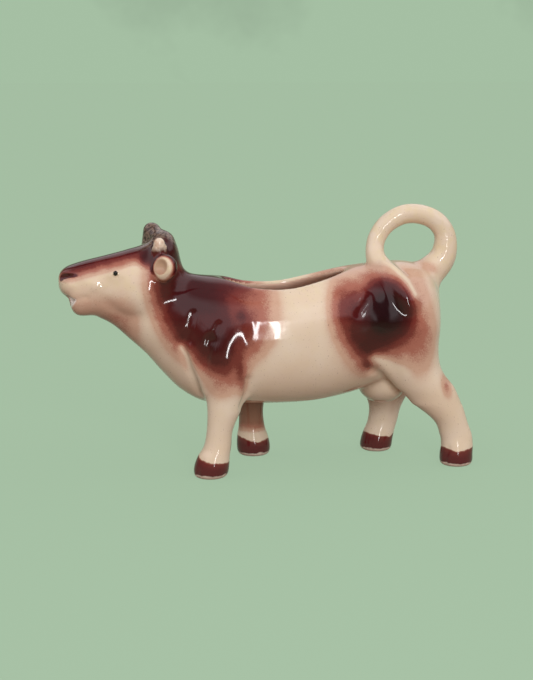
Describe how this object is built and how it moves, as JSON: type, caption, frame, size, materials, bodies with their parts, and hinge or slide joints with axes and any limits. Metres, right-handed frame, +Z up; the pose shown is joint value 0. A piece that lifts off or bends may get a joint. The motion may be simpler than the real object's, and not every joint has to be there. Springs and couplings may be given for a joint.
{
  "type": "cow creamer jug",
  "caption": "Hollow glazed earthenware jug shaped as a standing cow, with an oval filling hole in its back, a pouring mouth and a looped tail for a handle.",
  "frame": {"origin": "on the table under the middle of the jug's box, between the four feet", "axes": "+X from the nose to the tail, +Y from the cow's left side to its right side, +Z up"},
  "size_m": [0.1714, 0.0502, 0.1091],
  "materials": {
    "cream_glaze": "glossy clear glaze over cream earthenware with airbrushed maroon patches",
    "horn_glaze": "glossy clear glaze over speckled grey-brown"
  },
  "bodies": {
    "root": {"body_shell": "cream_glaze", "head": "cream_glaze", "front_left_leg": "cream_glaze", "front_right_leg": "cream_glaze", "rear_left_leg": "cream_glaze", "rear_right_leg": "cream_glaze", "tail_handle": "cream_glaze", "left_ear": "cream_glaze", "right_ear": "cream_glaze", "left_horn": "horn_glaze", "right_horn": "horn_glaze", "udder": "cream_glaze"}
  },
  "joints": []
}
